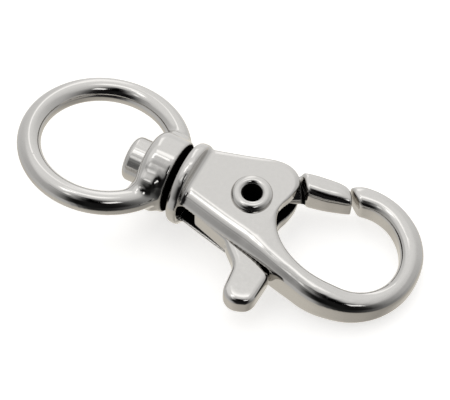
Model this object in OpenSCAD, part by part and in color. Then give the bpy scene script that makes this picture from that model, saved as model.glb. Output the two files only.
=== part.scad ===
// Swivel snap hook: a die-cast snap with a turning round eye and a sprung trigger gate.
// It is laid out along its swivel axis, eye to hook along +X, and then pitched nose down so that
// it lies on its collar and on the end of the bow, as it does on a table.

/* [Swivel eye] */
// Clear diameter of the eye
eye_inner_d = 20; // [14:0.5:26]
// Diameter of the eye's round wire
eye_wire_d = 3.8; // [3:0.1:4.4]
// Diameter of the barrel boss at its rim beside the collar
boss_d = 11.9; // [11.4:0.1:12.8]
// Diameter of the boss at its end under the stud's head
boss_end_d = 11.2; // [10.4:0.1:11.4]
// Length of the boss along the swivel axis
boss_len = 5.2; // [5:0.1:6]
// Rounding of the boss's two rims
boss_round = 0.9; // [0.4:0.1:1.4]
// Resting turn of the eye about the swivel axis, in degrees
eye_turn = -9.6; // [-30:0.1:30]

/* [Stud] */
// Diameter of the stud's shank
stud_d = 3; // [2.4:0.1:3.2]
// Diameter of the stud's pan head
stud_head_d = 7.2; // [5.5:0.1:8]
// Height of the stud's pan head
stud_head_h = 3; // [1.6:0.1:3.2]
// Radial clearance of the boss on the shank
stud_play = 0.05; // [0.02:0.01:0.1]

/* [Hook body] */
// Diameter of the collar bead
collar_d = 13.4; // [12:0.1:14]
// Width of the collar bead
collar_w = 2; // [1.8:0.1:2.4]
// Gap between the boss and the collar
collar_gap = 1; // [0.6:0.1:1.4]
// Thickness over both cheeks
cheek_t = 8; // [7:0.1:8.6]
// Width of the slot between the cheeks
slot_w = 4; // [3.8:0.1:4.2]
// Pivot distance from the casting's datum in the collar
pivot_dx = 10.3; // [10:0.1:10.6]
// Offset of the pivot from the swivel axis, toward the gate
pivot_dy = 0.5; // [0.3:0.1:0.7]

/* [Bow] */
// Radius of the bow's centre line
bow_r = 9.35; // [9:0.05:9.6]
// Distance from the casting's datum to the bow's centre
bow_dx = 27.4; // [27:0.1:28]
// Offset of the bow's centre from the swivel axis, toward the gate
bow_dy = 0.5; // [0:0.1:0.8]

/* [Trigger] */
// Thickness of the trigger's tongue and thumb lever
tongue_t = 3.6; // [3.2:0.1:3.7]
// Radial clearance of the trigger on the rivet
pivot_play = 0.05; // [0.02:0.01:0.1]
// Turn of the trigger from closed, in degrees
gate_open = 0; // [0:1:42]

/* [Rivet and spring] */
// Outside diameter of the tubular rivet
rivet_d = 4.2; // [3.8:0.1:4.4]
// Hole through the rivet
rivet_hole_d = 3; // [2.4:0.1:3.2]
// Diameter of the rivet's rolled flanges
flange_d = 6.5; // [5.8:0.1:6.8]
// Height of the rolled flanges
flange_h = 1; // [1:0.1:1.2]
// Wire diameter of the torsion spring
spring_wire_d = 0.5; // [0.4:0.05:0.5]
// Turns of the torsion spring
spring_turns = 3; // [2:1:3]

/* [Hidden] */
$fn = 48;
nickel = [0.80, 0.79, 0.77];
steel = [0.62, 0.62, 0.63];

eye_r = (eye_inner_d + eye_wire_d) / 2;
// the casting is laid out from a datum plane inside the collar
datum_x = eye_r + 3.2;
collar_x0 = datum_x - 1.2;
collar_x1 = collar_x0 + collar_w;
boss_x1 = collar_x0 - collar_gap;
boss_x0 = boss_x1 - boss_len;
head_play = 0.1;
pivot = [datum_x + pivot_dx, pivot_dy, 0];
bow_c = [datum_x + bow_dx, bow_dy];
bow_end_t = 4.5;
// the pitch at which the collar and the end of the bow touch one level surface
rest_pitch = asin((collar_d - bow_end_t) / 2 / (bow_c[0] + bow_r - datum_x));

// ---- lofted castings -------------------------------------------------------------------
// A rib crosses the casting from its opening-side edge to its outer edge:
// [inner x, inner y, outer x, outer y, thickness, inner rounding, outer rounding]
function blend(a, b, c, d, t) = 0.5 * (2 * b + (c - a) * t + (2 * a - 5 * b + 4 * c - d) * t * t
    + (3 * b - a - 3 * c + d) * t * t * t);
function pick(list, i) = list[max(0, min(len(list) - 1, i))];
function ribs(keys, n) = [
    for (i = [0:len(keys) - 2], j = [0:n - 1])
        blend(pick(keys, i - 1), keys[i], keys[i + 1], pick(keys, i + 2), j / n),
    keys[len(keys) - 1]
];
// quarter of an ellipse, corner by corner round the rib's section
function corner(a, z, ra, rz, from, n) = [
    for (k = [0:n]) [a + ra * cos(from + 90 * k / n), z + rz * sin(from + 90 * k / n)]
];
function section(width, thick, ri, ro, n) =
    let (h = thick / 2, vi = min(ri, h - 0.05), vo = min(ro * 0.85, h - 0.05))
    concat(
        corner(width - ro, h - vo, ro, vo, 0, n),
        corner(ri, h - vi, ri, vi, 90, n),
        corner(ri, vi - h, ri, vi, 180, n),
        corner(width - ro, vo - h, ro, vo, 270, n)
    );
function rib_points(rib, n) =
    let (p = [rib[0], rib[1]], q = [rib[2], rib[3]], w = norm(q - p), u = (q - p) / w)
    [for (s = section(w, rib[4], rib[5], rib[6], n)) [p[0] + u[0] * s[0], p[1] + u[1] * s[0], s[1]]];
module loft(rib_list, n = 5) {
    rings = [for (r = rib_list) rib_points(r, n)];
    m = len(rings[0]);
    last = len(rings) - 1;
    sides = [
        for (i = [0:last - 1], j = [0:m - 1])
            let (a = i * m + j, b = i * m + (j + 1) % m)
            each [[a, b, b + m], [a, b + m, a + m]]
    ];
    caps = [[for (j = [m - 1:-1:0]) j], [for (j = [0:m - 1]) last * m + j]];
    polyhedron([for (r = rings) each r], concat(sides, caps), convexity = 6);
}

module laid() {
    rotate([0, rest_pitch, 0]) children();
}
// turn about the swivel axis a profile drawn as [distance along the axis, radius]
module turned() {
    rotate([0, 90, 0]) rotate_extrude() rotate(-90) mirror([1, 0]) children();
}
// barrel profile from x0 at radius r0 to x1 at radius r1, its far corners rounded by c
module barrel_profile(x0, x1, r0, r1, c) {
    polygon([[x0, 0], [x1, 0], [x1, r1 - c], [x1 - c, r1], [x0 + c, r0], [x0, r0 - c]]);
    translate([x0 + c, r0 - c]) circle(c);
    translate([x1 - c, r1 - c]) circle(c);
}

// ---- swivel eye ------------------------------------------------------------------------
module eye_ring() {
    ring_end = boss_x1 - 0.4;
    intersection() {
        rotate_extrude() translate([eye_r, 0]) circle(eye_wire_d / 2);
        translate([-2 * eye_r, -2 * eye_r, -eye_wire_d])
            cube([2 * eye_r + ring_end, 4 * eye_r, 2 * eye_wire_d]);
    }
}
// where a wire arm of the eye swells into the boss
module arm_root(side) {
    root_angle = 40;
    root_d = boss_len - 1.3;
    hull() {
        rotate(side * root_angle) translate([eye_r, 0, 0]) rotate([90, 0, 0])
            cylinder(h = 0.1, d = eye_wire_d, center = true, $fn = 32);
        translate([(boss_x0 + boss_x1) / 2 + 0.2, side * (boss_end_d / 2 - 1.2), 0]) rotate([90, 0, 0])
            cylinder(h = 0.1, d = root_d, center = true, $fn = 32);
    }
}
module swivel_eye() {
    color(nickel) laid() rotate([eye_turn, 0, 0]) difference() {
        union() {
            eye_ring();
            turned() barrel_profile(boss_x0, boss_x1, boss_end_d / 2, boss_d / 2, boss_round);
            arm_root(1);
            arm_root(-1);
        }
        translate([boss_x0 - 1, 0, 0]) rotate([0, 90, 0])
            cylinder(h = boss_len + 2, d = stud_d + 2 * stud_play);
    }
}

// ---- swivel stud -----------------------------------------------------------------------
stake_h = 0.9;
stake_d = slot_w - 0.2;
module swivel_stud() {
    head_x = boss_x0 - head_play;
    top_x = head_x - stud_head_h;
    crown = 0.9;
    color(nickel) laid() {
        turned() {
            translate([top_x, 0]) square([stud_head_h, stud_head_d / 2 - crown]);
            translate([top_x + crown, 0]) square([stud_head_h - crown, stud_head_d / 2]);
            translate([top_x + crown, stud_head_d / 2 - crown]) circle(crown);
        }
        translate([head_x - 0.5, 0, 0]) rotate([0, 90, 0]) cylinder(h = collar_x1 - head_x + 0.5, d = stud_d);
        translate([collar_x1 - stake_h, 0, 0]) rotate([0, 90, 0]) cylinder(h = stake_h, d = stake_d);
    }
}

// ---- hook body -------------------------------------------------------------------------
// a point of the casting, given from its datum
function at(x, y) = [datum_x + x, y];
function rib(i, o, t, ri, ro) = concat(at(i[0], i[1]), at(o[0], o[1]), [t, ri, ro]);
// a rib across the bow at an angle about its centre, from an inset to an outset of its line
function bow_rib(a, inset, outset, t, ri, ro) = let (u = [cos(a), sin(a)])
    concat(bow_c + (bow_r - inset) * u, bow_c + (bow_r + outset) * u, [t, ri, ro]);
body_keys = [
    rib([0, 5.1], [0, -5.2], cheek_t, 1.2, 2.8),
    rib([6, 6.9], [5, -6.4], cheek_t, 1.2, 2.8),
    rib([11.2, 8.5], [8.5, -7.2], cheek_t, 1.2, 2.8),
    rib([14.2, 8.1], [10.5, -7.6], cheek_t, 1.2, 2.8),
    rib([15.9, 6.1], [12, -7.9], cheek_t, 1.2, 2.8),
    rib([15.75, 3.3], [13.4, -8.2], cheek_t, 1.1, 2.7),
    rib([15, 1], [14.8, -8.5], 7.9, 0.8, 2.6),
    rib([15.5, -1.4], [16.2, -8.8], 7.8, 0.6, 2.5),
    rib([16.9, -3.5], [17.8, -9.2], 7.6, 0.6, 2.4),
    rib([19, -5.15], [19.6, -9.65], 7.4, 0.8, 2.3),
    rib([21.8, -6.35], [22, -10.2], 7.1, 1, 2.2),
    rib([24.6, -6.9], [24.6, -10.8], 6.7, 1.1, 2.1),
    bow_rib(-88, 1.95, 2, 6.2, 1.2, 2),
    bow_rib(-66, 1.75, 1.9, 5.5, 1.3, 1.7),
    bow_rib(-44, 1.6, 1.9, 4.9, 1.4, 1.6),
    bow_rib(-22, 1.55, 1.8, 4.6, 1.4, 1.6),
    bow_rib(0, 1.7, 1.7, bow_end_t, 1.3, 1.7),
    bow_rib(22, 1.9, 1.8, bow_end_t, 1.3, 1.8),
    bow_rib(44, 1.95, 1.8, 4.6, 1.2, 1.8),
    bow_rib(66, 1.85, 1.8, 4.7, 1.1, 1.7),
    bow_rib(86, 1.75, 1.95, 4.8, 1, 1.6),
    bow_rib(104, 1.75, 2.1, 4.8, 0.9, 1.5),
    bow_rib(117, 1.7, 1.7, 4.6, 0.9, 1.4)
];
// the end of the nose, slanted so that the gap to the gate opens inward
nose_end = at(24.8, 8.45);
nose_slant = 41;
module nose_cut() {
    translate(nose_end) rotate(180 - nose_slant) translate([-3, 0, -5]) cube([9, 6, 10]);
}
// the slot runs in from the lever side and out at the throat; a web closes its far side
module slot_cut() {
    outline = [
        [collar_x1, -14], at(18.4, -14), at(18.4, -9.2), at(16.4, -3.2), at(18.5, -1.2),
        at(18.5, 12), at(12.5, 12), at(10.6, 6.2), [collar_x1, 3.4]
    ];
    translate([0, 0, -slot_w / 2]) linear_extrude(slot_w) polygon(outline);
}
module hook_body() {
    collar_r = collar_d / 2;
    color(nickel) laid() difference() {
        union() {
            turned() barrel_profile(collar_x0, collar_x1, collar_r, collar_r, collar_w / 2 - 0.05);
            difference() {
                loft(ribs(body_keys, 4));
                nose_cut();
            }
        }
        slot_cut();
        translate([boss_x1, 0, 0]) rotate([0, 90, 0]) cylinder(h = 5, d = stud_d);
        translate([collar_x1 - stake_h, 0, 0]) rotate([0, 90, 0])
            cylinder(h = 2, d = stake_d);
        translate(pivot) cylinder(h = 2 * cheek_t, d = rivet_d, center = true);
    }
}

// ---- trigger ---------------------------------------------------------------------------
tail_r = 8.85;
// the gate, from its tip under the nose back to its root
gate_keys = [
    rib([24.25, 7.6], [23.5, 8.95], 4.1, 0.6, 0.7),
    rib([23.9, 7.4], [22.95, 9.7], 4.3, 0.8, 1.2),
    rib([23.3, 7.1], [22.2, 10.3], 4.5, 0.9, 1.5),
    rib([22, 6.7], [21, 10.45], 4.8, 0.9, 1.6),
    rib([20.4, 6.2], [19.2, 10.25], 5, 0.9, 1.6),
    rib([18.8, 5.9], [17, 9.85], 5.3, 0.8, 1.6),
    rib([17.4, 5.65], [14.9, 9.25], 5.4, 0.8, 1.5)
];
// the neck between the tongue and the gate, its throat side rounded
neck_keys = [
    rib([18.4, 6.1], [15.9, 9.5], 3.4, 1.5, 0.9),
    rib([16.4, 5], [14.8, 9.1], 3.4, 1.6, 0.9),
    rib([13.6, 3.6], [12.6, 6.9], tongue_t, 0.5, 0.5)
];
// tail, hub and neck of the tongue, seen along the pivot
module tongue_outline() {
    difference() {
        polygon([
            at(3.65, -5.85), at(9.6, -7.35), at(11.4, -7.85), at(14.5, -8.5), at(17.9, -9.15),
            at(16, -3.3), at(14.4, -1), at(14, 1.2), at(14.3, 3.2), at(14.2, 4.4), at(13.3, 7.4),
            at(11.6, 5.6), at(7.4, 4.6), at(2.3, -3.2), at(2.3, -4.6)
        ]);
        translate([pivot[0], pivot[1]]) difference() {
            circle(20);
            circle(tail_r);
            translate([-6, -30]) square([60, 60]);
        }
    }
}
// a disc with a rounded rim, for the ends of the lever
module pebble(p, d) {
    c = 0.9;
    translate([p[0], p[1], 0]) rotate_extrude($fn = 32) intersection() {
        union() {
            square([d - 2 * c, tongue_t], center = true);
            for (s = [-1, 1]) translate([d / 2 - c, s * (tongue_t / 2 - c)]) circle(c, $fn = 20);
        }
        translate([0, -tongue_t]) square([d, 2 * tongue_t]);
    }
}
module lever() {
    heel = at(14.2, -9.6);
    hull() {
        pebble(at(15.5, -14), 4.7);
        pebble(at(16.2, -13.9), 4.4);
        pebble(at(17.1, -10.3), 3);
        pebble(heel, 3);
    }
    // the hollow curve from the tongue's back edge into the lever
    hull() {
        pebble(heel, 3);
        pebble(at(11.2, -7.1), 2.6);
    }
}
pocket_z = -0.3;
pocket_d = rivet_d + 2 * spring_wire_d + 0.8;
module spring_pocket() {
    translate([0, 0, pocket_z]) {
        cylinder(h = tongue_t, d = pocket_d);
        // sweep room for the leg that bears on the web
        linear_extrude(tongue_t) polygon([[0, 0], [-0.6, 5], [-5, 6], [-7, 3.5], [-7.4, -2], [-2, -1.6]]);
        // notch for the leg that pushes the gate
        translate([coil_r + 0.3, -0.4, 0]) cylinder(h = tongue_t, d = spring_wire_d + 0.3);
    }
}
module trigger() {
    color(nickel) laid() translate(pivot) rotate(-gate_open) difference() {
        translate(-pivot) {
            translate([0, 0, -tongue_t / 2]) linear_extrude(tongue_t) tongue_outline();
            lever();
            loft(ribs(gate_keys, 4));
            loft(ribs(neck_keys, 3));
        }
        spring_pocket();
        cylinder(h = 2 * tongue_t, d = rivet_d + 2 * pivot_play, center = true);
    }
}

// ---- pivot rivet -----------------------------------------------------------------------
module rivet_flange() {
    roll = 0.9;
    mouth = 0.7;
    bore_r = rivet_hole_d / 2;
    flange_r = flange_d / 2;
    rotate_extrude() difference() {
        union() {
            translate([bore_r, 0]) square([flange_r - bore_r - roll, flange_h]);
            translate([bore_r, 0]) square([flange_r - bore_r, flange_h - roll]);
            translate([flange_r - roll, flange_h - roll]) circle(roll);
            // the seat hides the roll's lower half
            translate([bore_r, 0]) square([flange_r - bore_r - 0.15, flange_h / 2]);
        }
        // the mouth rolls outward from the hole
        difference() {
            translate([bore_r - 0.1, flange_h - mouth]) square([mouth + 0.1, mouth + 0.1]);
            translate([bore_r + mouth, flange_h - mouth]) circle(mouth);
        }
        translate([0, -1]) square([flange_r + 1, 1]);
    }
}
module pivot_rivet() {
    color(nickel) laid() translate(pivot) {
        difference() {
            cylinder(h = cheek_t, d = rivet_d, center = true);
            cylinder(h = cheek_t + 2, d = rivet_hole_d, center = true);
        }
        for (s = [0, 1]) mirror([0, 0, s]) translate([0, 0, cheek_t / 2]) rivet_flange();
    }
}

// ---- trigger spring --------------------------------------------------------------------
coil_r = (rivet_d + spring_wire_d) / 2 + 0.15;
coil_step = 20;
coil_z = pocket_z + spring_wire_d / 2 + 0.03;
coil_pitch = spring_wire_d + 0.03;
// the coil starts with the leg that bears on the web, and ends at the notch toward the gate
leg_angle = 80;
coil_end = leg_angle - 360 * spring_turns - 60;
function coil_point(a) = [coil_r * cos(a), coil_r * sin(a), coil_z + coil_pitch * (leg_angle - a) / 360];
web_leg = [
    for (reach = [6.1, 3, 1]) coil_point(leg_angle) + reach * [-sin(leg_angle), cos(leg_angle), 0]
];
gate_leg = coil_point(coil_end) + 1.3 * [sin(coil_end), -cos(coil_end), 0];
spring_route = concat(web_leg, [for (a = [leg_angle:-coil_step:coil_end]) coil_point(a)], [gate_leg]);
function side_of(p, q) = let (d = q - p) d / norm(d);
module wire(route, d, n = 8) {
    last = len(route) - 1;
    rings = [
        for (i = [0:last])
            let (t = side_of(route[max(0, i - 1)], route[min(last, i + 1)]))
            let (u = side_of([0, 0, 0], cross(t, [0, 0, 1])), v = cross(u, t))
            [for (k = [0:n - 1]) route[i] + d / 2 * (cos(360 * k / n) * u + sin(360 * k / n) * v)]
    ];
    sides = [
        for (i = [0:last - 1], j = [0:n - 1])
            let (a = i * n + j, b = i * n + (j + 1) % n)
            each [[a, b, b + n], [a, b + n, a + n]]
    ];
    caps = [[for (j = [n - 1:-1:0]) j], [for (j = [0:n - 1]) last * n + j]];
    polyhedron([for (r = rings) each r], concat(sides, caps), convexity = 8);
}
module trigger_spring() {
    color(steel) laid() translate(pivot) wire(spring_route, spring_wire_d);
}

swivel_eye();
swivel_stud();
hook_body();
trigger();
pivot_rivet();
trigger_spring();
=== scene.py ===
"""Finish and light a swivel snap hook: three smooth nickel castings, a stud, a rivet and a spring.

The castings are modelled in millimetres on the swivel axis, and then laid down on the table.
Run it as a script. It adds a panel to the 3D view's sidebar, with one button for each step.
"""

import math

import bmesh
import bpy
from mathutils import Matrix, Vector


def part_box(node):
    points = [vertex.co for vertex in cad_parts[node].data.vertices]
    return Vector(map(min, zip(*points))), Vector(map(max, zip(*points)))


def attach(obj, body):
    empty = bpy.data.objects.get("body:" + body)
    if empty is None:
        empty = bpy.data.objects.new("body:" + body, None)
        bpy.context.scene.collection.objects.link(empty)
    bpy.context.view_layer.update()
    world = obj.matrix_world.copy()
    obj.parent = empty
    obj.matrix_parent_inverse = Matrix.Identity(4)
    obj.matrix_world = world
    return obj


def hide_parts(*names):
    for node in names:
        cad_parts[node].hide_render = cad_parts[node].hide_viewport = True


bl_info = {
    "name": "Swivel Snap Hook",
    "version": (1, 0, 0),
    "blender": (4, 5, 0),
    "location": "View3D > Sidebar > Snap Hook",
    "description": "Models, plates and lights a die-cast swivel snap hook round its packed frame",
    "category": "Object",
}

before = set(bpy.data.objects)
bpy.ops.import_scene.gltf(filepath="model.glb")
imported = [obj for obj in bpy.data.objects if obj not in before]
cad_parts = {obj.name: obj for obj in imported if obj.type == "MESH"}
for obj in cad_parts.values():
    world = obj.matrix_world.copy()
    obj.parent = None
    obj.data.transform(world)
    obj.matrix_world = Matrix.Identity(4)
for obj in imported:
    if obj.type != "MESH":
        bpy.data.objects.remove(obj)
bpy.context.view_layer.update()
FLOOR_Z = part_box("hook_body")[0].z

# ---- the layout of the castings, in millimetres from the eye's centre along the swivel axis --------
TO_METRES = 0.001
TO_MILLIMETRES = 1000
BOSS = (7.7, 12.9)
COLLAR = (13.9, 15.9)
COLLAR_RADIUS = 6.7
DATUM_X = 15.1
PIVOT = (25.4, 0.5)
BOW_CENTRE = (42.5, 0.5)
BOW_RADIUS = 9.35
BOW_THICKNESS = 4.5
# the part rests on its collar and on the end of its bow
REST_DROP = (2 * COLLAR_RADIUS - BOW_THICKNESS) / 2
REST_PITCH = math.asin(REST_DROP / (BOW_CENTRE[0] + BOW_RADIUS - DATUM_X))


# ---- settings --------------------------------------------------------------------------------------
class SnapEyeSettings(bpy.types.PropertyGroup):
    ring_radius: bpy.props.FloatProperty(
        name="Ring radius",
        description="Radius of the middle of the eye's wire",
        default=0.0119,
        unit="LENGTH",
    )
    wire_radius: bpy.props.FloatProperty(
        name="Wire radius", description="Radius of the eye's round wire", default=0.0019, unit="LENGTH"
    )
    turn: bpy.props.FloatProperty(
        name="Resting turn",
        description="Turn of the eye about the swivel axis",
        default=math.radians(-9.6),
        subtype="ANGLE",
    )


class SnapCastSettings(bpy.types.PropertyGroup):
    grain: bpy.props.FloatProperty(
        name="Surface step",
        description="Spacing of the points on a finished casting",
        default=0.00019,
        unit="LENGTH",
    )
    softness: bpy.props.IntProperty(
        name="Edge softness", description="Passes that soften the castings' edges under the plate", default=7
    )
    plate_colour: bpy.props.FloatVectorProperty(
        name="Plate colour",
        description="Colour of the nickel plate",
        default=(0.64, 0.626, 0.604),
        size=3,
        subtype="COLOR",
    )
    wire_colour: bpy.props.FloatVectorProperty(
        name="Spring colour",
        description="Colour of the spring wire",
        default=(0.36, 0.35, 0.34),
        size=3,
        subtype="COLOR",
    )


class SnapStageSettings(bpy.types.PropertyGroup):
    floor_colour: bpy.props.FloatVectorProperty(
        name="Floor colour",
        description="Colour of the table",
        default=(0.93, 0.915, 0.89),
        size=3,
        subtype="COLOR",
    )
    light: bpy.props.FloatProperty(name="Light", description="Strength of the studio light", default=1.0)


# ---- small helpers ---------------------------------------------------------------------------------
def deselect():
    if bpy.context.object and bpy.context.object.mode != "OBJECT":
        bpy.ops.object.mode_set(mode="OBJECT")
    bpy.ops.object.select_all(action="DESELECT")


def only(piece):
    """Make one piece the selected and active one."""
    deselect()
    piece.select_set(True)
    bpy.context.view_layer.objects.active = piece


def edit(piece, select="SELECT"):
    """Enter edit mode on one piece, with all of it selected or none."""
    only(piece)
    bpy.ops.object.mode_set(mode="EDIT")
    bpy.ops.mesh.select_all(action=select)


def leave():
    bpy.ops.object.mode_set(mode="OBJECT")


def select_points(piece, wanted):
    """Select the points that pass a test, and what lies between them. The piece is in edit mode."""
    bpy.ops.mesh.select_all(action="DESELECT")
    mesh = bmesh.from_edit_mesh(piece.data)
    for v in mesh.verts:
        v.select = wanted(v.co)
    mesh.select_flush(True)
    bmesh.update_edit_mesh(piece.data)


def select_edges(piece, wanted):
    """Select the edges whose two ends pass a test. The piece is in edit mode."""
    mesh = bmesh.from_edit_mesh(piece.data)
    for face in mesh.faces:
        face.select = False
    for edge in mesh.edges:
        edge.select = all(wanted(v.co) for v in edge.verts)
    mesh.select_flush_mode()
    bmesh.update_edit_mesh(piece.data)


def apply_modifier(piece, kind, **values):
    only(piece)
    modifier = piece.modifiers.new(kind.title(), kind)
    for key, value in values.items():
        setattr(modifier, key, value)
    bpy.ops.object.modifier_apply(modifier=modifier.name)


def apply_place():
    """Put the active piece's origin at the world's, unturned and unscaled."""
    bpy.ops.object.transform_apply(location=True, rotation=True, scale=True)


def cut(piece, *tools):
    """Cut the tools out of a piece, and throw them away."""
    for tool in tools:
        apply_modifier(piece, "BOOLEAN", operation="DIFFERENCE", solver="EXACT", object=tool)
        bpy.data.objects.remove(tool, do_unlink=True)


def join(name, *parts):
    deselect()
    for part in parts:
        part.select_set(True)
    bpy.context.view_layer.objects.active = parts[0]
    bpy.ops.object.join()
    piece = bpy.context.object
    piece.name = name
    piece.data.name = name
    return piece


# ---- shapes ----------------------------------------------------------------------------------------
CORNER_STEPS = 7
RIM_STEPS = 8
SLAB_RIM_STEPS = 5
ARC_STEPS = 14
# two points nearer than this, in millimetres, are the same point
NEAR = 0.001


def on_curve(p, q, r, u, t):
    """A value part t of the way from q to r, on the smooth curve that comes from p and goes on to u."""
    bend, twist = 2 * p - 5 * q + 4 * r - u, 3 * q - p - 3 * r + u
    return 0.5 * (2 * q + (r - p) * t + bend * t**2 + twist * t**3)


def between(keys, steps):
    """Ribs on a smooth curve through the key ribs, steps to each span."""
    ribs = []
    for i in range(len(keys) - 1):
        a, b, c, d = (keys[max(0, min(len(keys) - 1, j))] for j in (i - 1, i, i + 1, i + 2))
        for s in range(steps):
            ribs.append(tuple(on_curve(*values, s / steps) for values in zip(a, b, c, d)))
    ribs.append(keys[-1])
    return ribs


def on_section(rib):
    """A test for the points that lie on a rib's own section."""
    inner, outer = Vector(rib[0:2]), Vector(rib[2:4])
    middle, along = (inner + outer) / 2, (outer - inner).normalized()
    reach = (outer - inner).length / 2 + 10 * NEAR

    def test(co):
        off = co.xy - middle
        return abs(off.x * along.y - off.y * along.x) < NEAR and abs(off.dot(along)) < reach

    return test


def add_section(piece, rib):
    """Add one rounded section across the casting, an open ring of edges. The piece is in edit mode.

    A rib is its inner point, its outer point, its thickness, and the roundings at those two points.
    """
    inner, outer = Vector((rib[0], rib[1], 0)), Vector((rib[2], rib[3], 0))
    thick, inner_round, outer_round = rib[4:]
    across = outer - inner
    bpy.ops.mesh.select_all(action="DESELECT")
    bpy.ops.mesh.primitive_plane_add(size=1, rotation=(math.pi / 2, 0, 0))
    bpy.ops.transform.resize(value=(across.length, 1, thick), center_override=(0, 0, 0))
    turn = -math.atan2(across.y, across.x)
    bpy.ops.transform.rotate(value=turn, orient_axis="Z", center_override=(0, 0, 0))
    bpy.ops.transform.translate(value=(inner + outer) / 2)
    for corner, rounding in ((inner, inner_round), (outer, outer_round)):
        select_points(piece, lambda co: (co.xy - corner.xy).length < NEAR)
        bpy.ops.mesh.bevel(offset=rounding, segments=CORNER_STEPS, affect="VERTICES", clamp_overlap=True)
    select_points(piece, on_section(rib))
    bpy.ops.mesh.delete(type="ONLY_FACE")


def loft(name, ribs):
    """A casting drawn through its ribs: a rounded section at each, bridged in turn and closed at the ends."""
    bpy.ops.mesh.primitive_plane_add()
    piece = bpy.context.object
    piece.name = name
    edit(piece)
    bpy.ops.mesh.delete(type="VERT")
    add_section(piece, ribs[0])
    for before, rib in zip(ribs, ribs[1:]):
        add_section(piece, rib)
        last, here = on_section(before), on_section(rib)
        select_points(piece, lambda co: last(co) or here(co))
        bpy.ops.mesh.bridge_edge_loops()
    bpy.ops.mesh.select_all(action="SELECT")
    bpy.ops.mesh.fill_holes(sides=0)
    bpy.ops.mesh.select_all(action="SELECT")
    bpy.ops.mesh.normals_make_consistent(inside=False)
    leave()
    return piece


def slab(name, outline, half, rim=0.0):
    """A flat piece cut to an outline, as far above the swivel axis as below it, with rounded rims."""
    deselect()
    curve = bpy.data.curves.new(name, "CURVE")
    curve.dimensions = "2D"
    curve.fill_mode = "BOTH"
    spline = curve.splines.new("POLY")
    spline.points.add(len(outline) - 1)
    for point, (x, y) in zip(spline.points, outline):
        point.co = (x, y, 0, 1)
    spline.use_cyclic_u = True
    curve.extrude = half - rim
    curve.bevel_depth = rim
    curve.bevel_resolution = SLAB_RIM_STEPS
    curve.offset = -rim
    piece = bpy.data.objects.new(name, curve)
    bpy.context.scene.collection.objects.link(piece)
    only(piece)
    bpy.ops.object.convert(target="MESH")
    edit(piece)
    bpy.ops.mesh.remove_doubles(threshold=NEAR)
    bpy.ops.mesh.normals_make_consistent(inside=False)
    leave()
    return piece


def rod(name, radius, start, end, end_radius=None, vertices=96):
    """A round bar from one point to another, plain or tapered."""
    start, end = Vector(start), Vector(end)
    way = end - start
    deselect()
    bpy.ops.mesh.primitive_cone_add(
        vertices=vertices,
        radius1=radius,
        radius2=end_radius or radius,
        depth=way.length,
        location=(start + end) / 2,
        rotation=way.to_track_quat("Z", "Y").to_euler(),
    )
    piece = bpy.context.object
    piece.name = name
    apply_place()
    return piece


def round_rim(piece, at_x, rounding):
    """Round the rim of a bar along X at one of its ends."""
    edit(piece, "DESELECT")
    select_edges(piece, lambda co: abs(co.x - at_x) < NEAR / 10)
    bpy.ops.mesh.bevel(offset=rounding, segments=RIM_STEPS, affect="EDGES")
    leave()


def soften(piece, grain, passes):
    """Melt the joined forms into one cast skin and take the sharpness off its edges."""
    apply_modifier(piece, "REMESH", mode="VOXEL", voxel_size=grain * TO_MILLIMETRES)
    apply_modifier(piece, "SMOOTH", factor=0.5, iterations=passes)


def fillet(piece, grain, radius):
    """Fill a casting's inner corners: swell its skin until they close, and then draw it back."""
    for reach in (radius, -radius):
        soften(piece, grain, passes=2)
        apply_modifier(piece, "DISPLACE", strength=reach, mid_level=0.0)


def tilt_about(piece, middle, way, angle, flatten):
    """Press a piece flat, and then tilt it about a line through its middle."""
    press = Matrix.Diagonal((1, 1, flatten, 1))
    tilt = Matrix.Translation(middle) @ Matrix.Rotation(angle, 4, way) @ Matrix.Translation(-middle)
    piece.matrix_world = tilt @ press
    only(piece)
    apply_place()


def lay_down(piece, turn=0.0):
    """Turn the finished piece to how it lies, and bring it to its real size."""
    only(piece)
    bpy.ops.object.shade_smooth()
    pose = Matrix.Rotation(REST_PITCH, 4, "Y") @ Matrix.Rotation(turn, 4, "X") @ Matrix.Scale(TO_METRES, 4)
    piece.matrix_world = pose
    apply_place()


# ---- finishes --------------------------------------------------------------------------------------
HAZE_SPREAD = (0.35, 0.65)
HAZE_DARKENS, HAZE_LIGHTENS = 0.965, 1.03
PIT_SPACING, PIT_RADIUS, PIT_RARITY, PIT_ROUGHNESS = 0.9, 0.055, 0.8, 0.5
RELIEF_DEPTH = 0.0001
# the near-black painted into the recesses as their shade
PAINTED_SHADE_COLOUR = (0.005, 0.0045, 0.004, 1)
PLATE_ON_CASTING = {
    "Ripple size": 320,
    "Haze size": 1800,
    "Pits": 0.6,
    "Lowest roughness": 0.05,
    "Highest roughness": 0.11,
}
PLATE_ON_STEEL = {
    "Ripple size": 500,
    "Haze size": 2600,
    "Pits": 0.2,
    "Lowest roughness": 0.08,
    "Highest roughness": 0.15,
}
BARE_WIRE = {
    "Ripple size": 900,
    "Haze size": 5000,
    "Pits": 0.0,
    "Lowest roughness": 0.25,
    "Highest roughness": 0.4,
}
CASTING_RELIEF, STEEL_RELIEF, WIRE_RELIEF = 0.12, 0.06, 0.1

# the recesses where shade is painted as a near-black, in millimetres: the swivel's gap, the rivet's hole, and
# the slot
GAP_RADIUS, GAP_SPREAD = 5.9, 0.14
HOLE_RADIUS = 1.66
SLOT_HALF, SLOT_REACH = 2.12, (16.0, 33.4)
# lines that bound the slot, each a slope along X (END_SLOPE along Y) and a start
WEB_SLOPE, WEB_START = 0.286, -1.0
LIP_SLOPE, LIP_START = 0.225, 1.5
END_SLOPE, END_START = 0.2917, 30.67
THROAT_START = -3.1
NECK_FACE, NECK_START = (0.82, 0.57), 28.98
# how slowly a recess's painted shade fades in past its bound
CRISP, SOFT, SOFTER = 0.08, 0.2, 0.3
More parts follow.
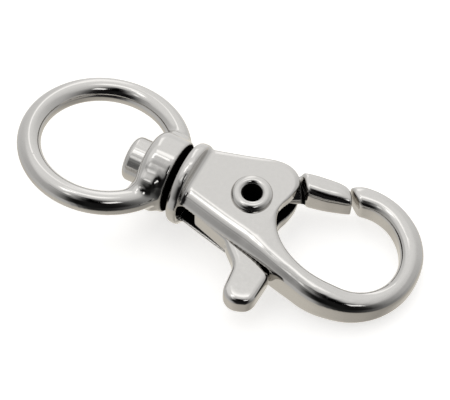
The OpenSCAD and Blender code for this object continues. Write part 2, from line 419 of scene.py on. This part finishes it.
# how far from the pivot, in metres, a piece's own share of the slot gets painted shade, and its neck
SHADE_OVER_WHOLE_SLOT = {"Hub radius": 1.0, "Neck radius": 0.0}
SHADE_ON_HUB_AND_NECK = {"Hub radius": 0.0052, "Neck radius": 0.0087}


def new_group(name, inputs, outputs):
    """A shader node group with number inputs, and its two end nodes."""
    group = bpy.data.node_groups.new(name, "ShaderNodeTree")
    for label, value in inputs.items():
        socket = group.interface.new_socket(name=label, in_out="INPUT", socket_type="NodeSocketFloat")
        socket.default_value = value
    for label in outputs:
        group.interface.new_socket(name=label, in_out="OUTPUT", socket_type="NodeSocketFloat")
    return group, group.nodes.new("NodeGroupInput").outputs, group.nodes.new("NodeGroupOutput").inputs


def math_node(tree, operation, *values, clamp=False):
    """The result of one sum, from numbers and other nodes' results."""
    node = tree.nodes.new("ShaderNodeMath")
    node.operation = operation
    node.use_clamp = clamp
    for socket, value in zip(node.inputs, values):
        if isinstance(value, (int, float)):
            socket.default_value = value
        else:
            tree.links.new(value, socket)
    return node.outputs[0]


def mixed_colour(tree, factor, first, second):
    """A mix of two colours, each given as a colour or as another node's result."""
    mix = tree.nodes.new("ShaderNodeMix")
    mix.data_type = "RGBA"
    tree.links.new(factor, mix.inputs["Factor"])
    for label, value in (("A", first), ("B", second)):
        if isinstance(value, tuple):
            mix.inputs[label].default_value = value
        else:
            tree.links.new(value, mix.inputs[label])
    return mix.outputs["Result"]


def group_node(tree, group, values):
    """A node that uses a shared group, with its own numbers."""
    node = tree.nodes.new("ShaderNodeGroup")
    node.node_tree = group
    for label, value in values.items():
        node.inputs[label].default_value = value
    return node


def plated_surface_group():
    """Slow ripples left by casting and polishing, a fine haze and rare small pits, for every metal."""
    group, given, result = new_group("Plated surface", PLATE_ON_CASTING, ("Height", "Roughness", "Haze"))
    nodes, links = group.nodes, group.links
    place = nodes.new("ShaderNodeTexCoord").outputs["Object"]
    ripple = nodes.new("ShaderNodeTexNoise")
    ripple.inputs["Detail"].default_value = 2
    haze = nodes.new("ShaderNodeTexNoise")
    haze.inputs["Detail"].default_value = 5
    for node, size in ((ripple, "Ripple size"), (haze, "Haze size")):
        links.new(place, node.inputs["Vector"])
        links.new(given[size], node.inputs["Scale"])
    pits = nodes.new("ShaderNodeTexVoronoi")
    links.new(place, pits.inputs["Vector"])
    links.new(math_node(group, "MULTIPLY", given["Ripple size"], PIT_SPACING), pits.inputs["Scale"])
    chance = nodes.new("ShaderNodeSeparateColor")
    links.new(pits.outputs["Color"], chance.inputs[0])
    inside = math_node(group, "LESS_THAN", pits.outputs["Distance"], PIT_RADIUS)
    chosen = math_node(group, "GREATER_THAN", chance.outputs[0], PIT_RARITY)
    pit = math_node(group, "MULTIPLY", math_node(group, "MULTIPLY", inside, chosen), given["Pits"])
    spread = nodes.new("ShaderNodeMapRange")
    spread.inputs["From Min"].default_value, spread.inputs["From Max"].default_value = HAZE_SPREAD
    links.new(haze.outputs["Fac"], spread.inputs["Value"])
    links.new(given["Lowest roughness"], spread.inputs["To Min"])
    links.new(given["Highest roughness"], spread.inputs["To Max"])
    rough_pit = math_node(group, "MULTIPLY", pit, PIT_ROUGHNESS)
    links.new(math_node(group, "SUBTRACT", ripple.outputs["Fac"], pit), result["Height"])
    links.new(math_node(group, "ADD", spread.outputs[0], rough_pit), result["Roughness"])
    links.new(haze.outputs["Fac"], result["Haze"])
    return group


def upright_axes(tree):
    """The place of a point in the castings' own axes, in metres, before they were laid down."""
    upright = tree.nodes.new("ShaderNodeVectorRotate")
    upright.rotation_type = "Y_AXIS"
    upright.inputs["Angle"].default_value = -REST_PITCH
    tree.links.new(tree.nodes.new("ShaderNodeTexCoord").outputs["Object"], upright.inputs["Vector"])
    axes = tree.nodes.new("ShaderNodeSeparateXYZ")
    tree.links.new(upright.outputs[0], axes.inputs[0])
    return axes.outputs["X"], axes.outputs["Y"], axes.outputs["Z"]


def painted_shade_group():
    """Marks the faces where shade is painted as a near-black: the gap, the slot and the rivet's hole."""
    group, given, result = new_group("Painted recess shade", SHADE_OVER_WHOLE_SLOT, ("Painted shade",))
    x, y, z = upright_axes(group)

    def calc(operation, *values, clamp=False):
        return math_node(group, operation, *values, clamp=clamp)

    def past(value, start):
        return calc("ADD", value, -TO_METRES * start)

    def line(value, slope, start):
        return calc("MULTIPLY_ADD", value, slope, TO_METRES * start)

    def length(first, second):
        return calc("SQRT", calc("ADD", calc("POWER", first, 2.0), calc("POWER", second, 2.0)))

    def below(value, limit, edge=CRISP):
        return calc("DIVIDE", calc("SUBTRACT", limit, value), TO_METRES * edge, clamp=True)

    def between_ends(value, low, high, spread=0.0):
        off_middle = calc("ABSOLUTE", past(value, (low + high) / 2))
        return below(off_middle, TO_METRES * ((high - low) / 2 + spread))

    def both(first, *more):
        for mask in more:
            first = calc("MULTIPLY", first, mask)
        return first

    def either(first, *more):
        for mask in more:
            first = calc("MAXIMUM", first, mask)
        return first

    gap = both(
        between_ends(x, BOSS[1], COLLAR[0], GAP_SPREAD),
        below(length(y, z), TO_METRES * GAP_RADIUS, SOFTER),
    )
    from_pivot = length(past(x, PIVOT[0]), past(y, PIVOT[1]))
    to_gate = calc("MULTIPLY_ADD", x, NECK_FACE[0], calc("MULTIPLY", y, NECK_FACE[1]))
    neck = both(below(from_pivot, given["Neck radius"]), below(TO_METRES * NECK_START, to_gate, SOFTER))
    slot = both(
        between_ends(x, *SLOT_REACH),
        below(calc("ABSOLUTE", z), TO_METRES * SLOT_HALF),
        below(y, line(x, WEB_SLOPE, WEB_START)),
        below(calc("MULTIPLY", y, -1.0), line(x, LIP_SLOPE, LIP_START), SOFT),
        either(
            below(calc("MULTIPLY_ADD", y, END_SLOPE, x), TO_METRES * END_START),
            below(TO_METRES * THROAT_START, y, SOFT),
        ),
        either(below(from_pivot, given["Hub radius"]), neck),
    )
    hole = below(from_pivot, TO_METRES * HOLE_RADIUS)
    # the gap, the slot and the hole together take the painted shade
    group.links.new(either(gap, slot, hole), result["Painted shade"])
    return group


def plated(name, colour, relief, surface, recess=SHADE_OVER_WHOLE_SLOT):
    """A metal finish with its own measures of the shared surface, with shade painted as a dull near-black
    into the recesses, made once and then found by name.
    """
    if name in bpy.data.materials:
        return bpy.data.materials[name]
    material = bpy.data.materials.new(name)
    material.use_nodes = True
    tree = material.node_tree
    links, shader = tree.links, tree.nodes["Principled BSDF"]
    skin = group_node(tree, bpy.data.node_groups.get("Plated surface") or plated_surface_group(), surface)
    painted_shade = group_node(tree, bpy.data.node_groups.get("Painted recess shade") or painted_shade_group(), recess).outputs["Painted shade"]
    darker = (*(HAZE_DARKENS * c for c in colour), 1)
    lighter = (*(min(1.0, HAZE_LIGHTENS * c) for c in colour), 1)
    hazy = mixed_colour(tree, skin.outputs["Haze"], darker, lighter)
    # painted shade: the recesses get a near-black colour, no metal and no specular, in place of their shade
    links.new(mixed_colour(tree, painted_shade, hazy, PAINTED_SHADE_COLOUR), shader.inputs["Base Color"])
    bright = math_node(tree, "SUBTRACT", 1.0, painted_shade)
    links.new(bright, shader.inputs["Metallic"])
    links.new(math_node(tree, "MULTIPLY", bright, 0.5), shader.inputs["Specular IOR Level"])
    links.new(skin.outputs["Roughness"], shader.inputs["Roughness"])
    bump = tree.nodes.new("ShaderNodeBump")
    bump.inputs["Strength"].default_value = relief
    bump.inputs["Distance"].default_value = RELIEF_DEPTH
    links.new(skin.outputs["Height"], bump.inputs["Height"])
    links.new(bump.outputs["Normal"], shader.inputs["Normal"])
    return material


def finish_piece(piece, material, body):
    piece.data.materials.clear()
    piece.data.materials.append(material)
    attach(piece, body)


def finish_node(node, material):
    """Give a node of the frame its finish."""
    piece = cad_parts[node]
    if not piece.material_slots:
        piece.data.materials.append(material)
    for slot in piece.material_slots:
        slot.material = material


# ---- the eye ---------------------------------------------------------------------------------------
RING_SEGMENTS, WIRE_SEGMENTS, TURNED_SEGMENTS = 240, 64, 160
RING_CUT = BOSS[1] - 0.4
BOSS_RADIUS, BOSS_END_RADIUS = 6.1, 5.95
BOSS_ROUND, BOSS_END_ROUND = 1.6, 0.5
EYE_BORE, BORE_PAST = 1.56, 2
EYE_FILLET = 1.4
# the eye's wire swells as it runs into the boss, from this turn off the swivel axis
ROOT_TURN = math.radians(40)
ROOT_END_X = (BOSS[0] + BOSS[1]) / 2 - 0.1
ROOT_END_RADIUS = 2.8
# the flanks between the boss and the eye's arms, from their high inner end to their low outer one
FLANK_SIDE = 4.2
FLANK_X, FLANK_WIDTH, FLANK_LENGTH = 10.3, 4.4, 4.4
FLANK_HIGH, FLANK_LOW = 5.45, 3.0
FLANK_OUTER, FLANK_NARROWS, FLANK_NARROWS_AT = 5, 0.9, 9
FLANK_ROUND, FLANK_STEPS = 1.1, 6


def flank(side):
    """The flank that slopes from the boss's top down to one arm of the eye."""
    deselect()
    bpy.ops.mesh.primitive_cube_add(
        size=1, location=(FLANK_X, side * FLANK_SIDE, 0), scale=(FLANK_WIDTH, FLANK_LENGTH, 2 * FLANK_HIGH)
    )
    piece = bpy.context.object
    apply_place()
    edit(piece, "DESELECT")
    select_points(piece, lambda co: abs(co.y) > FLANK_OUTER)
    bpy.ops.transform.resize(
        value=(FLANK_NARROWS, 1, FLANK_LOW / FLANK_HIGH), center_override=(FLANK_NARROWS_AT, 0, 0)
    )
    bpy.ops.mesh.select_all(action="SELECT")
    bpy.ops.mesh.bevel(offset=FLANK_ROUND, segments=FLANK_STEPS, affect="EDGES")
    leave()
    return piece


def root(side, ring, wire):
    """The swelling of the eye's wire where one of its arms runs into the boss."""
    start = (ring * math.cos(ROOT_TURN), side * ring * math.sin(ROOT_TURN), 0)
    return rod("root", wire, start, (ROOT_END_X, side * FLANK_SIDE, 0), end_radius=ROOT_END_RADIUS)


class SNAP_OT_eye(bpy.types.Operator):
    """Model the round eye and the boss that turns on the stud"""

    bl_idname = "snap.eye"
    bl_label = "Swivel Eye"

    def execute(self, context):
        given, cast = context.scene.snap_eye, context.scene.snap_cast
        ring, wire = given.ring_radius * TO_MILLIMETRES, given.wire_radius * TO_MILLIMETRES
        deselect()
        bpy.ops.mesh.primitive_torus_add(
            major_radius=ring, minor_radius=wire, major_segments=RING_SEGMENTS, minor_segments=WIRE_SEGMENTS
        )
        eye = bpy.context.object
        edit(eye)
        bpy.ops.mesh.bisect(plane_co=(RING_CUT, 0, 0), plane_no=(1, 0, 0), use_fill=True, clear_outer=True)
        leave()
        boss = rod(
            "boss", BOSS_RADIUS, (BOSS[0], 0, 0), (BOSS[1], 0, 0), BOSS_END_RADIUS, vertices=TURNED_SEGMENTS
        )
        round_rim(boss, BOSS[0], BOSS_ROUND)
        round_rim(boss, BOSS[1], BOSS_END_ROUND)
        roots = [root(side, ring, wire) for side in (1, -1)]
        eye = join("Swivel_eye", eye, boss, *roots, flank(1), flank(-1))
        fillet(eye, cast.grain, EYE_FILLET)
        soften(eye, cast.grain, cast.softness)
        cut(eye, rod("bore", EYE_BORE, (BOSS[0] - BORE_PAST, 0, 0), (BOSS[1] + BORE_PAST, 0, 0)))
        lay_down(eye, given.turn)
        plate = plated("Nickel on casting", cast.plate_colour, CASTING_RELIEF, PLATE_ON_CASTING)
        finish_piece(eye, plate, "eye")
        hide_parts("swivel_eye")
        return {"FINISHED"}


# ---- the hook casting ------------------------------------------------------------------------------
def at(x, y):
    """A point of the casting, given from the middle of the collar."""
    return (DATUM_X + x, y)


def rib(inner, outer, thick, inner_round, outer_round):
    return (*at(*inner), *at(*outer), thick, inner_round, outer_round)


def bow_rib(angle, inset, outset, thick, inner_round, outer_round):
    """A rib across the bow, at an angle about its centre, reaching in and out from its middle line."""
    along = (math.cos(math.radians(angle)), math.sin(math.radians(angle)))
    near, far = BOW_RADIUS - inset, BOW_RADIUS + outset
    return (
        *(c + near * a for c, a in zip(BOW_CENTRE, along)),
        *(c + far * a for c, a in zip(BOW_CENTRE, along)),
        thick,
        inner_round,
        outer_round,
    )


BODY_STEPS = 5
BODY_FILLET = 0.35
BODY_RIBS = [
    rib((0, 5.1), (0, -5.2), 8, 1.2, 2.7),
    rib((6, 6.9), (5, -6.4), 8, 1.2, 2.7),
    rib((11.2, 8.5), (8.5, -7.2), 8, 1.2, 2.7),
    rib((14.2, 8.1), (10.5, -7.6), 8, 1.2, 2.7),
    rib((15.9, 6.1), (12, -7.9), 8, 1.2, 2.7),
    rib((15.75, 3.3), (13.4, -8.2), 8, 1.1, 2.6),
    rib((15, 1), (14.8, -8.5), 7.9, 0.8, 2.5),
    rib((15.5, -1.4), (16.2, -8.8), 7.8, 0.6, 2.4),
    rib((16.9, -3.5), (17.8, -9.2), 7.6, 0.6, 2.3),
    rib((19, -5.15), (19.6, -9.65), 7.4, 0.8, 2.2),
    rib((21.8, -6.35), (22, -10.2), 7.1, 1, 2.1),
    rib((24.6, -6.9), (24.6, -10.8), 6.7, 1.1, 2.0),
    bow_rib(-88, 1.95, 2, 6.2, 1.2, 1.95),
    bow_rib(-66, 1.75, 1.9, 5.5, 1.3, 1.65),
    bow_rib(-44, 1.6, 1.9, 4.9, 1.4, 1.6),
    bow_rib(-22, 1.55, 1.8, 4.6, 1.4, 1.6),
    bow_rib(0, 1.7, 1.7, BOW_THICKNESS, 1.3, 1.65),
    bow_rib(22, 1.9, 1.8, 4.5, 1.3, 1.75),
    bow_rib(44, 1.95, 1.8, 4.6, 1.2, 1.75),
    bow_rib(66, 1.85, 1.8, 4.7, 1.3, 1.65),
    bow_rib(86, 1.75, 1.95, 4.8, 1.35, 1.6),
    bow_rib(104, 1.75, 2.1, 4.8, 1.35, 1.5),
    bow_rib(117, 1.7, 1.7, 4.6, 1.3, 1.4),
]
# the slant that ends the nose: what lies past it is cut away by a block
NOSE_END = at(24.8, 8.45)
NOSE_SLANT = math.radians(139)
NOSE_BLOCK, NOSE_BLOCK_MIDDLE = (9, 6, 10), Vector((1.5, 3, 0))
COLLAR_ROUND = 0.95
SLOT_WIDTH = 4
SLOT_OUTLINE = [
    (COLLAR[1], -14),
    at(18.15, -14),
    at(18.15, -9.2),
    at(16.4, -3.2),
    at(18.5, -1.2),
    at(18.5, 12),
    at(12.5, 12),
    at(10.6, 6.2),
    (COLLAR[1], 3.4),
]
RIVET_BORE, RIVET_BORE_END = 2.1, 9


class SNAP_OT_body(bpy.types.Operator):
    """Model the hook casting: collar, cheeks, slot and bow"""

    bl_idname = "snap.body"
    bl_label = "Hook Body"

    def execute(self, context):
        cast = context.scene.snap_cast
        deselect()
        body = loft("casting", between(BODY_RIBS, BODY_STEPS))
        bpy.ops.mesh.primitive_cube_add(size=1, rotation=(0, 0, NOSE_SLANT), scale=NOSE_BLOCK)
        past_nose = bpy.context.object
        past_nose.location = Vector((*NOSE_END, 0)) + Matrix.Rotation(NOSE_SLANT, 3, "Z") @ NOSE_BLOCK_MIDDLE
        cut(body, past_nose)
        collar = rod("collar", COLLAR_RADIUS, (COLLAR[0], 0, 0), (COLLAR[1], 0, 0), vertices=TURNED_SEGMENTS)
        round_rim(collar, COLLAR[0], COLLAR_ROUND)
        round_rim(collar, COLLAR[1], COLLAR_ROUND)
        body = join("Hook_body", body, collar)
        fillet(body, cast.grain, BODY_FILLET)
        cut(
            body,
            slab("slot", SLOT_OUTLINE, SLOT_WIDTH / 2),
            rod("pivot bore", RIVET_BORE, (*PIVOT, -RIVET_BORE_END), (*PIVOT, RIVET_BORE_END)),
        )
        soften(body, cast.grain, cast.softness)
        lay_down(body)
        plate = plated("Nickel on casting", cast.plate_colour, CASTING_RELIEF, PLATE_ON_CASTING)
        finish_piece(body, plate, "hook")
        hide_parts("hook_body")
        return {"FINISHED"}


# ---- the trigger -----------------------------------------------------------------------------------
def arc(x, y, radius, first, last):
    """Points on an arc about a point given from the middle of the collar, angles in degrees."""
    return [
        at(x + radius * math.cos(math.radians(a)), y + radius * math.sin(math.radians(a)))
        for a in (first + (last - first) * i / ARC_STEPS for i in range(ARC_STEPS + 1))
    ]


GATE_STEPS, NECK_STEPS = 4, 3
GATE_RIBS = [
    rib((24.25, 7.6), (23.5, 8.95), 4.1, 0.6, 0.65),
    rib((23.9, 7.4), (22.95, 9.7), 4.3, 1.1, 1.1),
    rib((23.3, 7.1), (22.2, 10.3), 4.5, 1.3, 1.45),
    rib((22, 6.7), (21, 10.45), 4.8, 1.4, 1.55),
    rib((20.4, 6.2), (19.2, 10.25), 5, 1.5, 1.55),
    rib((18.8, 5.9), (17, 9.85), 5.3, 1.55, 1.55),
    rib((17.4, 5.65), (14.9, 9.25), 5.4, 1.6, 1.45),
]
# drawn thick, and then pressed flat and tilted, so that its throat side rolls over slowly
NECK_RIBS = [
    rib((18.4, 6.1), (15.9, 9.5), 6.8, 3, 0.9),
    rib((16.4, 5), (14.8, 9.1), 6.8, 3.2, 0.9),
    rib((13.6, 3.6), (12.6, 6.9), 6.8, 2.2, 0.9),
]
NECK_PRESS = 0.36
NECK_MIDDLE = Vector((*at(15.6, 7.2), 0))
NECK_WAY = Vector((0.887, 0.462, 0))
NECK_TILT = math.radians(27)
TONGUE_TOP, TONGUE_RIM = 1.8, 0.25
TONGUE_OUTLINE = [
    at(3.65, -5.5),
    at(7, -6.5),
    at(11.4, -7.85),
    at(14.5, -7.9),
    at(17.3, -8.5),
    at(16, -3.3),
    at(14.4, -1),
    at(14, 1.2),
    at(14.3, 3.2),
    at(14.2, 4.4),
    at(13.3, 7.4),
    at(11.6, 5.6),
    at(7.4, 4.6),
    at(2.3, -3.2),
    at(2.4, -4.2),
]
TRIGGER_BORE = 2.2
POCKET_RADIUS, POCKET_FLOOR = 2.8, -0.3
PAST_TONGUE = 4
TRIGGER_FILLET = 0.3
LEVER_RIM = 0.85
LEVER_OUTLINE = (
    arc(15.5, -14, 2.35, 186, 290)
    + arc(16.2, -13.9, 2.2, 291, 357)
    + arc(17.1, -10.3, 1.5, -2, 76)
    + arc(11.2, -7.1, 1.3, 53, 227)
    + arc(9.74, -11.86, 3.2, 47, 6)
)
LEVER_TIP = Vector((*at(15.6, -15.6), TONGUE_TOP))
TIP_WEAR_REACH, TIP_WEAR_PASSES = 2, 10


class SNAP_OT_trigger(bpy.types.Operator):
    """Model the trigger: tongue, thumb lever and gate"""

    bl_idname = "snap.trigger"
    bl_label = "Trigger"

    def execute(self, context):
        cast = context.scene.snap_cast
        deselect()
        tongue = slab("tongue", TONGUE_OUTLINE, TONGUE_TOP, TONGUE_RIM)
        lever = slab("lever", LEVER_OUTLINE, TONGUE_TOP, LEVER_RIM)
        gate = loft("gate", between(GATE_RIBS, GATE_STEPS))
        neck = loft("neck", between(NECK_RIBS, NECK_STEPS))
        tilt_about(neck, NECK_MIDDLE, NECK_WAY, NECK_TILT, NECK_PRESS)
        cut(
            tongue,
            rod("bore", TRIGGER_BORE, (*PIVOT, -PAST_TONGUE), (*PIVOT, PAST_TONGUE)),
            rod("pocket", POCKET_RADIUS, (*PIVOT, POCKET_FLOOR), (*PIVOT, PAST_TONGUE)),
        )
        trigger = join("Trigger", tongue, lever, gate, neck)
        fillet(trigger, cast.grain, TRIGGER_FILLET)
        soften(trigger, cast.grain, cast.softness)
        # the thumb has worn the lever's tip round
        edit(trigger)
        select_points(trigger, lambda co: (co - LEVER_TIP).length < TIP_WEAR_REACH)
        bpy.ops.mesh.vertices_smooth(factor=0.5, repeat=TIP_WEAR_PASSES)
        leave()
        lay_down(trigger)
        # the trigger's hub and neck inside the slot get painted shade
        plate = plated(
            "Nickel on trigger", cast.plate_colour, CASTING_RELIEF, PLATE_ON_CASTING, SHADE_ON_HUB_AND_NECK
        )
        finish_piece(trigger, plate, "trigger")
        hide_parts("trigger")
        return {"FINISHED"}


# ---- the stud, the rivet and the spring ------------------------------------------------------------
class SNAP_OT_steel(bpy.types.Operator):
    """Finish the stud, the tubular rivet and the spring"""

    bl_idname = "snap.steel"
    bl_label = "Stud, Rivet and Spring"

    def execute(self, context):
        cast = context.scene.snap_cast
        # the stud's swivel gap and the rivet's hole get painted shade
        plate = plated("Nickel on steel", cast.plate_colour, STEEL_RELIEF, PLATE_ON_STEEL)
        finish_node("swivel_stud", plate)
        finish_node("pivot_rivet", plate)
        finish_node("trigger_spring", plated("Spring wire", cast.wire_colour, WIRE_RELIEF, BARE_WIRE))
        return {"FINISHED"}


# ---- the stage -------------------------------------------------------------------------------------
CAMERA_PLACE = (0.117459, -0.149197, 0.2512)
CAMERA_TURN = (34.7768, 4.0042, 27.1274)
CAMERA_LENS, CAMERA_SENSOR, CAMERA_NEAREST = 160, 36, 0.01
# the camera's side of the part, as a bearing
CAMERA_SIDE = math.radians(-57.1)
TABLE_SIZE, TABLE_X = 6, 0.02
TABLE_ROUGHNESS, TABLE_SHEEN, TABLE_GLOW = 0.9, 0.1, 0.6

# bearing from the camera's side, height, half width, half height (degrees), edge, brightness;
# the last one is a dark flag
LIGHT_PANELS = [
    (-140, 79.5, 52, 4.5, 0.05, 0.95),
    (150, 70, 27, 7, 0.09, 0.55),
    (-50, 63, 8, 8, 0.08, 0.6),
    (25, 52, 13, 7, 0.05, 1.3),
    (169, 30, 8, 22, 0.08, 0.4),
    (-58, 50, 24, 6, 0.1, -0.24),
]
# how bright the tent is at each bearing from the camera's side, in bands from the table up
TENT_TABLE = [
    *((-180, 0.8), (-120, 0.64), (-88, 0.68), (-60, 0.64), (-25, 0.52)),
    *((12, 0.46), (50, 0.4), (100, 0.6), (140, 0.7), (180, 0.8)),
]
TENT_SKIRT = [
    *((-180, 0.85), (-120, 0.66), (-65, 0.62), (-44, 0.46), (-35, 0.2), (-26, 0.05), (-8, 0.02)),
    *((14, 0.06), (40, 0.2), (67, 0.4), (100, 0.65), (140, 0.8), (180, 0.95)),
]
TENT_WALL = [
    *((-180, 0.86), (-150, 0.76), (-120, 0.64), (-82, 0.54), (-64, 0.45), (-54, 0.3)),
    *((-45, 0.12), (-38, 0.02), (-15, 0.012), (20, 0.016), (29, 0.07), (44, 0.25)),
    *((66, 0.5), (100, 0.66), (125, 0.8), (150, 0.97), (180, 1.05)),
]
TENT_SHOULDER = [
    *((-180, 1.04), (-140, 1.0), (-110, 0.92), (-80, 0.78), (-56, 0.6), (-38, 0.42)),
    *((-27, 0.16), (-18, 0.02), (14, 0.016), (26, 0.1), (42, 0.36), (60, 0.64)),
    *((90, 0.8), (125, 0.9), (150, 1.02), (180, 1.06)),
]
TENT_HIGH = [
    *((-180, 1.15), (-140, 0.98), (-85, 1.0), (-62, 0.72), (-40, 0.46), (-22, 0.2), (-8, 0.03)),
    *((12, 0.04), (28, 0.26), (52, 0.62), (100, 0.84), (140, 1.1), (180, 1.15)),
]
TENT_ROOF = (0.76, 0.76, 0.76, 1)
TABLE_TINT = (1.05, 1, 0.91)
# the heights over which one band gives way to the next, in degrees
SKIRT_HEIGHTS = (-40, -22)
HIGHER_BANDS = [((-8, 8), TENT_WALL), ((36, 56), TENT_SHOULDER), ((62, 70), TENT_HIGH)]
ROOF_HEIGHTS = (76, 86)


def panel_group():
    """One soft-edged panel of the light tent, by bearing and height, in radians."""
    inputs = {
        "Bearing": 0.0,
        "Height": 0.0,
        "Panel bearing": 0.0,
        "Panel height": 1.0,
        "Half width": 0.3,
        "Half height": 0.3,
        "Edge": 0.1,
        "Brightness": 1.0,
    }
    group, given, result = new_group("Light panel", inputs, ("Light",))
    off_bearing = math_node(group, "SUBTRACT", given["Bearing"], given["Panel bearing"])
    off_bearing = math_node(group, "WRAP", off_bearing, math.pi, -math.pi)
    off_height = math_node(group, "SUBTRACT", given["Height"], given["Panel height"])
    masks = []
    for off, half in ((off_bearing, "Half width"), (off_height, "Half height")):
        room = math_node(group, "SUBTRACT", given[half], math_node(group, "ABSOLUTE", off))
        masks.append(math_node(group, "DIVIDE", room, given["Edge"], clamp=True))
    inside = math_node(group, "MULTIPLY", *masks)
    group.links.new(math_node(group, "MULTIPLY", inside, given["Brightness"]), result["Light"])
    return group


def ramp(tree, around, marks, tint=(1, 1, 1)):
    """Brightness by bearing, smoothly through the marks."""
    node = tree.nodes.new("ShaderNodeValToRGB")
    node.color_ramp.interpolation = "CARDINAL"
    elements = node.color_ramp.elements
    while len(elements) < len(marks):
        elements.new(0.5)
    for element, (degrees, value) in zip(elements, marks):
        element.position = degrees / 360 + 0.5
        element.color = (*(value * c for c in tint), 1)
    tree.links.new(around, node.inputs["Fac"])
    return node.outputs["Color"]


def by_height(tree, height, heights, below, above):
    """Go from one brightness to another over a range of heights, in degrees."""
    rise = tree.nodes.new("ShaderNodeMapRange")
    rise.interpolation_type = "SMOOTHSTEP"
    for label, degrees in zip(("From Min", "From Max"), heights):
        rise.inputs[label].default_value = math.radians(degrees)
    tree.links.new(height, rise.inputs["Value"])
    return mixed_colour(tree, rise.outputs[0], below, above)


def light_tent(strength):
    """A soft light tent with an opening toward the camera, drawn in the world."""
    world = bpy.data.worlds.new("Light tent")
    bpy.context.scene.world = world
    world.use_nodes = True
    tree = world.node_tree
    nodes, links = tree.nodes, tree.links
    turned = nodes.new("ShaderNodeVectorRotate")
    turned.rotation_type = "Z_AXIS"
    turned.inputs["Angle"].default_value = -CAMERA_SIDE
    links.new(nodes.new("ShaderNodeTexCoord").outputs["Generated"], turned.inputs["Vector"])
    axes = nodes.new("ShaderNodeSeparateXYZ")
    links.new(turned.outputs[0], axes.inputs[0])
    bearing = math_node(tree, "ARCTAN2", axes.outputs["Y"], axes.outputs["X"])
    height = math_node(tree, "ARCSINE", axes.outputs["Z"])
    around = math_node(tree, "MULTIPLY_ADD", bearing, 0.5 / math.pi, 0.5)
    table, skirt = ramp(tree, around, TENT_TABLE, TABLE_TINT), ramp(tree, around, TENT_SKIRT)
    total = by_height(tree, height, SKIRT_HEIGHTS, table, skirt)
    for heights, marks in HIGHER_BANDS:
        total = by_height(tree, height, heights, total, ramp(tree, around, marks))
    total = by_height(tree, height, ROOF_HEIGHTS, total, TENT_ROOF)
    panel = panel_group()
    for *angles, edge, brightness in LIGHT_PANELS:
        labels = ("Panel bearing", "Panel height", "Half width", "Half height")
        values = {label: math.radians(angle) for label, angle in zip(labels, angles)}
        node = group_node(tree, panel, {**values, "Edge": edge, "Brightness": brightness})
        links.new(bearing, node.inputs["Bearing"])
        links.new(height, node.inputs["Height"])
        more = nodes.new("ShaderNodeVectorMath")
        more.operation = "ADD"
        links.new(total, more.inputs[0])
        links.new(node.outputs["Light"], more.inputs[1])
        total = more.outputs[0]
    links.new(total, nodes["Background"].inputs["Color"])
    nodes["Background"].inputs["Strength"].default_value = strength


def table_material(colour):
    """A pale, nearly white table."""
    material = bpy.data.materials.new("Pale table")
    material.use_nodes = True
    tree = material.node_tree
    shader = tree.nodes["Principled BSDF"]
    shader.inputs["Base Color"].default_value = (*colour, 1)
    shader.inputs["Roughness"].default_value = TABLE_ROUGHNESS
    shader.inputs["Specular IOR Level"].default_value = TABLE_SHEEN
    shader.inputs["Emission Color"].default_value = (1, 1, 1, 1)
    seen = tree.nodes.new("ShaderNodeLightPath").outputs["Is Camera Ray"]
    tree.links.new(math_node(tree, "MULTIPLY", seen, TABLE_GLOW), shader.inputs["Emission Strength"])
    return material


class SNAP_OT_stage(bpy.types.Operator):
    """Lay the table, hang the light tent and set up the camera"""

    bl_idname = "snap.stage"
    bl_label = "Stage"

    def execute(self, context):
        given = context.scene.snap_stage
        deselect()
        bpy.ops.mesh.primitive_plane_add(size=TABLE_SIZE, location=(TABLE_X, 0, FLOOR_Z))
        table = bpy.context.object
        table.name = "Table"
        table.data.materials.append(table_material(given.floor_colour))
        # the plate mirrors the tent's own skirt in place of the table
        table.visible_glossy = False
        light_tent(given.light)
        bpy.ops.object.camera_add(location=CAMERA_PLACE, rotation=[math.radians(a) for a in CAMERA_TURN])
        camera = bpy.context.object
        camera.data.lens = CAMERA_LENS
        camera.data.sensor_width = CAMERA_SENSOR
        camera.data.clip_start = CAMERA_NEAREST
        context.scene.camera = camera
        context.scene.view_settings.view_transform = "Standard"
        return {"FINISHED"}


# ---- the panel, and the run ------------------------------------------------------------------------
STEPS = (SNAP_OT_stage, SNAP_OT_eye, SNAP_OT_body, SNAP_OT_trigger, SNAP_OT_steel)
GROUPS = {"snap_eye": SnapEyeSettings, "snap_cast": SnapCastSettings, "snap_stage": SnapStageSettings}


class SNAP_PT_panel(bpy.types.Panel):
    """The pieces of the snap hook, in the 3D view's sidebar"""

    bl_label = "Snap Hook"
    bl_idname = "SNAP_PT_panel"
    bl_space_type = "VIEW_3D"
    bl_region_type = "UI"
    bl_category = "Snap Hook"

    def draw(self, context):
        for name in GROUPS:
            given = getattr(context.scene, name)
            for key in given.__annotations__:
                self.layout.prop(given, key)
        for operator in STEPS:
            self.layout.operator(operator.bl_idname)


def register():
    for kind in (*GROUPS.values(), *STEPS, SNAP_PT_panel):
        bpy.utils.register_class(kind)
    for name, kind in GROUPS.items():
        setattr(bpy.types.Scene, name, bpy.props.PointerProperty(type=kind))


def unregister():
    for name in GROUPS:
        delattr(bpy.types.Scene, name)
    for kind in (SNAP_PT_panel, *reversed(STEPS), *GROUPS.values()):
        bpy.utils.unregister_class(kind)


def main():
    register()
    bpy.ops.snap.stage()
    bpy.ops.snap.eye()
    bpy.ops.snap.body()
    bpy.ops.snap.trigger()
    bpy.ops.snap.steel()


if __name__ == "__main__":
    main()
